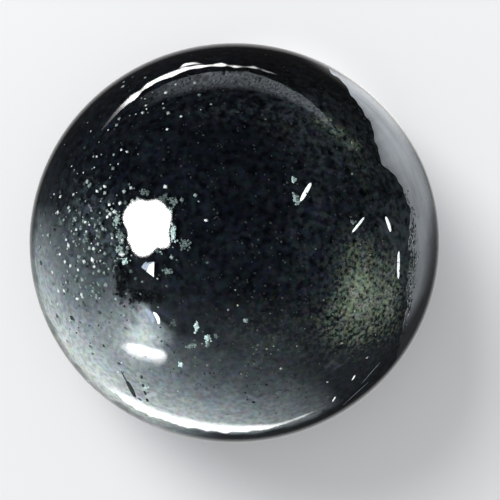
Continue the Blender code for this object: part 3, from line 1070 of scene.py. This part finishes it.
STRIPS = (  # name, distance in mm, brightness, softness of its outer and its inner side, raggedness, grain,
    # then rows of what is seen: direction in degrees, share of the way out, width in mm, share of brightness
    ("left_bar", 40, 20, 1.5, 0.5, 0.08, 0.0, (
        (221.8, 0.755, 0.12, 0.0), (224.2, 0.747, 0.26, 0.35), (227.6, 0.726, 0.36, 1.0),
        (231.5, 0.704, 0.38, 1.0), (235.3, 0.688, 0.39, 1.0), (238.4, 0.674, 0.38, 0.8),
        (240.8, 0.668, 0.20, 0.0),
    )),
    ("bottom_arc", 3.2, 6.2, 0.35, 1.1, 0.22, 0.0, (
        (219, 0.936, 0.08, 0.0), (226, 0.936, 0.15, 0.06), (233, 0.934, 0.18, 0.35),
        (240, 0.931, 0.20, 1.0), (248, 0.926, 0.22, 1.0), (256, 0.921, 0.23, 1.0),
        (264, 0.920, 0.22, 1.0), (271, 0.922, 0.19, 1.0), (277, 0.925, 0.15, 1.0),
        (282, 0.929, 0.10, 0.7), (287, 0.926, 0.06, 0.4), (291, 0.924, 0.05, 0.5),
        (296, 0.924, 0.02, 0.0),
    )),
    ("top_arc", 3.4, 14, 0.8, 0.45, 0.24, 0.0, (
        (76.0, 0.864, 0.02, 0.0), (79.8, 0.869, 0.04, 0.20), (82.0, 0.876, 0.03, 0.06),
        (84.1, 0.880, 0.055, 0.4), (87.0, 0.879, 0.03, 0.10), (89.8, 0.879, 0.065, 0.7),
        (91.8, 0.885, 0.03, 0.20), (94.0, 0.890, 0.08, 1.0), (97.2, 0.892, 0.05, 0.5),
        (100.7, 0.895, 0.08, 1.0), (103.5, 0.898, 0.06, 0.8), (106.6, 0.899, 0.10, 1.0),
        (109.8, 0.894, 0.11, 1.0), (114.5, 0.895, 0.09, 1.0), (118.4, 0.891, 0.10, 1.0),
        (120.8, 0.884, 0.06, 0.5), (123.5, 0.877, 0.12, 1.0), (126.7, 0.874, 0.11, 0.7),
        (129.5, 0.870, 0.08, 0.25), (131.7, 0.866, 0.07, 0.14), (134.5, 0.861, 0.06, 0.08),
        (137.7, 0.856, 0.05, 0.04), (139.5, 0.853, 0.04, 0.0),
    )),
    ("grey_band", 8, 1.20, 0.16, 1.0, 0.07, 0.45, (
        (48, 0.740, 0.03, 0.0), (52, 0.748, 0.09, 0.8), (56, 0.755, 0.15, 1.0), (65, 0.773, 0.24, 1.0),
        (72, 0.782, 0.30, 0.95), (78, 0.791, 0.36, 0.9), (85, 0.804, 0.40, 0.9),
        (93, 0.807, 0.42, 0.9), (100, 0.812, 0.43, 0.85), (108, 0.815, 0.39, 0.65),
        (114, 0.818, 0.35, 0.45), (126, 0.823, 0.31, 0.0),
    )),
    ("top_branch", 3.4, 14, 0.8, 0.6, 0.30, 0.0, (
        (99.8, 0.904, 0.02, 0.0), (102.0, 0.915, 0.05, 0.4), (104.3, 0.920, 0.06, 0.7),
        (105.6, 0.918, 0.06, 0.6), (107.4, 0.910, 0.03, 0.0),
    )),
)
STRIP_STEPS = 260  # points along a strip
STRIP_SIDE = 15  # points across a strip
ROOM_SEEN = 0.83  # brightness of the room where it is looked at,
ROOM_LIT = 0.30  # as it lights dull things,
ROOM_MIRRORED = 0.02  # and as the stone mirrors it


def mirrored_point(x, y, distance):
    """The point in the room whose mirror image is seen at x, y on the dome, at a distance from there."""
    normal = dome_normal(x, y)
    back = 2 * normal[..., 2:3] * normal - np.array([0, 0, 1])
    return np.stack([x, y, dome_height(x, y)], -1) + distance * back


def smooth_path(rows, count):
    """Points along a smooth curve through the rows: cubics whose slopes come from the rows on each side."""
    rows = np.array(rows, float)
    padded = np.vstack([2 * rows[0] - rows[1], rows, 2 * rows[-1] - rows[-2]])
    along = np.linspace(0, len(rows) - 1, count)
    first = np.minimum(along.astype(int), len(rows) - 2)
    part = (along - first)[:, None]
    a, b, c, d = (padded[first + step] for step in range(4))
    return 0.5 * (2 * b + (c - a) * part + (2 * a - 5 * b + 4 * c - d) * part**2
                  + (3 * b - a - 3 * c + d) * part**3)


def glow_material(name, colour):
    """A lamp's glowing face, as bright as the piece's own glow attribute says."""
    material, tree, shader, output = new_material(name)
    tree.nodes.remove(shader)
    face = add(tree, "Emission", Color=colour, Strength=attribute(tree, "glow"))
    feed(tree, output, Surface=face.outputs[0])
    material.cycles.emission_sampling = "NONE"
    return material


LAMP_FACE = glow_material("lamp_face", (1, 1, 1, 1))
DUSK_FACE = glow_material("dusk_face", (0.86, 0.93, 1, 1))


def lamp_sheet(name, points, glow):
    """A lamp's face from a grid of points, which only mirror-like reflections see."""
    rows, columns = points.shape[:2]
    index = np.arange(rows * columns).reshape(rows, columns)
    faces = np.stack([index[:-1, :-1], index[:-1, 1:], index[1:, 1:], index[1:, :-1]], -1).reshape(-1, 4)
    piece = new_piece(name, points, faces.tolist())
    set_attribute(piece, "glow", glow.ravel())
    piece.data.materials.append(DUSK_FACE if name == "grey_band" else LAMP_FACE)
    for use in ("camera", "diffuse", "transmission", "volume_scatter", "shadow"):
        setattr(piece, "visible_" + use, False)
    return piece


def key_face():
    """The key lamp's face: a cluster of round lamps, by its outline in the mirror, filled outwards.

    The outline runs straight from one given point to the next in direction and distance, and is then smoothed
    by taking the mean of seven neighbours.
    """
    around = np.linspace(0, 2 * np.pi, KEY_STEPS[1], endpoint=False)
    reach = np.interp(np.degrees(around), *np.array(KEY_OUTLINE, float).T, period=360)
    reach = sum(np.roll(reach, step) for step in range(-3, 4)) / 7 * MM
    around = np.append(around, 2 * np.pi)
    reach = np.append(reach, reach[0])
    part = np.linspace(KEY_MIDDLE, KEY_SIZE, KEY_STEPS[0])[:, None]
    x = KEY_SEEN[0] + part * reach * np.cos(around)
    y = KEY_SEEN[1] + part * reach * np.sin(around)
    glow = KEY_RADIANCE * rise(part, KEY_SIZE, KEY_SIZE - KEY_SOFTNESS) ** 2 + 0 * x
    return lamp_sheet("key_face", mirrored_point(x, y, KEY_AWAY), glow)


def strip(name, distance, brightness, outer_softness, inner_softness, ragged, grain, rows):
    """A strip lamp, placed by the band that its mirror image fills on the dome.

    Its sides are slightly uneven, and grain dims and brightens small spots of it at random.
    """
    direction, share, width, glow = smooth_path(rows, STRIP_STEPS).T
    line = np.stack(seen_place(share, np.radians(direction)), -1)
    along = np.gradient(line, axis=0)
    side = np.stack([-along[:, 1], along[:, 0]], -1) / np.linalg.norm(along, axis=1, keepdims=True)
    across = np.linspace(-1, 1, STRIP_SIDE)
    x, y = line.T
    uneven = ragged * (waver(1.7 * x, 1.7 * y) + 0.6 * waver(4 * y, 4 * x))
    half = np.maximum(width, 0.01) * MM / 2
    wide = half[:, None] * across * (1 + uneven[:, None] * np.where(across > 0, 0.4, 1.0))
    seen = line[:, None] + side[:, None] * wide[..., None]
    softness = np.where(across > 0, inner_softness, outer_softness)
    spots = np.random.default_rng(21).normal(size=(len(half) // 2, STRIP_SIDE)).repeat(2, axis=0)
    glow = np.clip(glow, 0, 1)[:, None] * rise(np.abs(across), 1, 1 - softness) * brightness
    glow = glow * np.clip(1 + grain * spots, 0, 2)
    return lamp_sheet(name, mirrored_point(seen[..., 0], seen[..., 1], distance * MM), glow)


def soft_lamp(name, towards, away, size, radiance, receivers=None):
    """A round soft lamp that faces the stone. Its power is its radiance times its area times pi."""
    data = bpy.data.lights.new(name, "AREA")
    data.shape = "DISK"
    data.size = size
    data.energy = radiance * np.pi * np.pi / 4 * size**2
    piece = in_scene(name, data)
    direction = Vector(towards).normalized()
    piece.location = direction * away + Vector((0, 0, GIRDLE))
    piece.rotation_euler = direction.to_track_quat("Z", "Y").to_euler()
    for use in ("camera", "glossy", "transmission"):
        setattr(piece, "visible_" + use, False)
    if receivers is not None:
        piece.light_linking.receiver_collection = receivers
    return piece


def room():
    """Pale where it is looked at, and dim in what the stone mirrors, so that the stone stays dark."""
    world = bpy.data.worlds.new("room")
    bpy.context.scene.world = world
    world.use_nodes = True
    tree = world.node_tree
    path = add(tree, "LightPath").outputs
    unseen = between(tree, path["Is Diffuse Ray"], ROOM_MIRRORED, ROOM_LIT)
    strength = between(tree, looked_at(tree, path), unseen, ROOM_SEEN)
    feed(tree, tree.nodes["Background"], Color=(1, 1, 1, 1), Strength=strength)


room()
key_face()
for row in STRIPS:
    strip(*row)

on_stone = bpy.data.collections.new("lit_on_the_stone")
for piece in stone_pieces:
    on_stone.objects.link(piece)
on_table = bpy.data.collections.new("lit_on_the_table")
on_table.objects.link(sheet)
key_direction = mirrored_point(*KEY_SEEN, KEY_AWAY) - mirrored_point(*KEY_SEEN, 0)
soft_lamp("key", key_direction, KEY_AWAY, 30 * MM, 22.0, on_stone)
soft_lamp("front_fill", (0.45, -0.62, 0.64), 90 * MM, 60 * MM, 6.0, on_stone)
soft_lamp("low_fill", (-0.35, -0.80, 0.50), 90 * MM, 60 * MM, 4.0, on_stone)
soft_lamp("window", (-0.44, 0.55, 0.707), 140 * MM, 70 * MM, 16.0, on_table)
soft_lamp("above", (-0.13, 0.13, 1.0), 150 * MM, 120 * MM, 0.8)

scene = bpy.context.scene
scene.view_settings.view_transform = "Standard"
scene.view_settings.look = "None"
scene.cycles.caustics_refractive = False
scene.cycles.caustics_reflective = False
scene.cycles.max_bounces = 16
scene.cycles.transmission_bounces = 16
scene.cycles.transparent_max_bounces = 16
